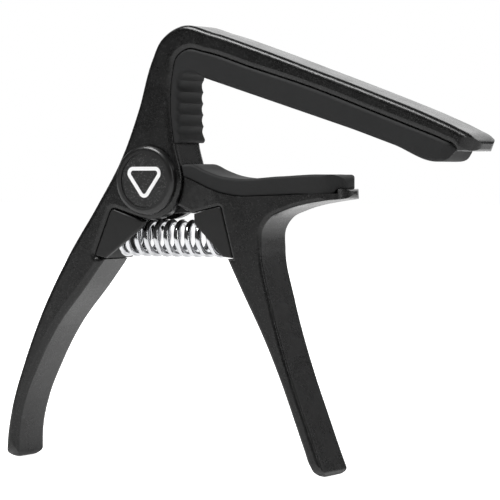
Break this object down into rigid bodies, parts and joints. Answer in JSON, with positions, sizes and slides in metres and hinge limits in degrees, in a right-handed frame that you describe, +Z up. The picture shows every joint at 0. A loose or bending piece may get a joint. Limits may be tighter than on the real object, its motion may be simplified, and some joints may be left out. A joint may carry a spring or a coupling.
{
  "type": "guitar capo",
  "caption": "Spring-loaded trigger capo: a padded string arm and fixed handle hinged to a padded jaw and squeeze handle, with a coil spring between them.",
  "frame": {"origin": "centre of the bounding box in X and Y, at the height of the two handle tips it stands on", "axes": "+X the way the string arm reaches from the hinge, +Y from the capped front face to the bolt head behind, +Z up"},
  "size_m": [0.0995, 0.0122, 0.0813],
  "materials": {
    "powder_coat": "satin",
    "silicone": "matte",
    "moulded_seat": "matte",
    "cap_plastic": "gloss",
    "badge_face": "matte",
    "badge_print": "matte",
    "spring_steel": "polished",
    "black_steel": "satin",
    "bronze": "satin",
    "zinc_steel": "satin"
  },
  "bodies": {
    "frame": {"frame_arm": "powder_coat", "string_pad": "silicone", "frame_spring_seat": "moulded_seat", "pivot_bolt": "black_steel", "pivot_nut": "zinc_steel", "lock_washer": "zinc_steel", "front_cap": "cap_plastic", "badge_disc": "badge_face", "badge_mark": "badge_print", "front_thrust_washer": "moulded_seat", "rear_thrust_washer": "moulded_seat", "main_spring": "spring_steel"},
    "clamp": {"clamp_arm": "powder_coat", "pivot_bush": "bronze", "neck_pad": "silicone", "clamp_spring_seat": "moulded_seat"}
  },
  "joints": [
    {"name": "clamp_hinge", "type": "hinge", "parent": "frame", "child": "clamp", "pos_m": [-0.01704, 0, 0.053], "axis": [0, 1, 0], "range_deg": [0, 35], "stiffness_Nm_per_rad": 0.6, "springref_deg": -34.38, "deforming": ["main_spring"]}
  ]
}
